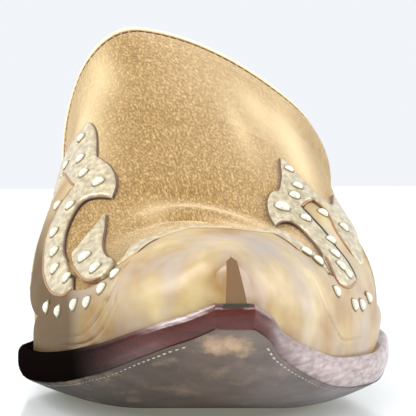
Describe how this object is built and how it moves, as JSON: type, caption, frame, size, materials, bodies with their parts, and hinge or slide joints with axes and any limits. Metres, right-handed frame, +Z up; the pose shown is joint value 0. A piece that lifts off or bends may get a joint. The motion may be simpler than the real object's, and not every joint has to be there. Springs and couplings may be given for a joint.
{
  "type": "western mule",
  "caption": "Backless western mule for the left foot: pointed snip toe, open heel, stacked block heel, and flame overlays beside a toe cap.",
  "frame": {"origin": "middle of the heel's ground face", "axes": "+Z up, +Y towards the heel's back, +X towards the little toe side of this left shoe; the toe points to -Y"},
  "size_m": [0.0988, 0.29, 0.0958],
  "materials": {
    "suede": "tan suede with a short brushed nap",
    "waxed_leather": "smooth tan leather with a soft wax sheen",
    "pearl_leather": "smooth pale leather with a pearl finish",
    "sole_leather": "dark burgundy edge dye, polished",
    "heel_leather": "stacked leather, dyed and polished",
    "lining_leather": "plain smooth lining leather",
    "heel_rubber": "dull"
  },
  "bodies": {
    "root": {"outsole": "sole_leather", "welt": "sole_leather", "insole": "lining_leather", "heel_stack": "heel_leather", "heel_top_lift": "heel_rubber", "upper": "suede", "toe_cap": "waxed_leather", "flame_medial": "pearl_leather", "flame_medial_short": "pearl_leather", "flame_lateral": "pearl_leather"}
  },
  "joints": []
}
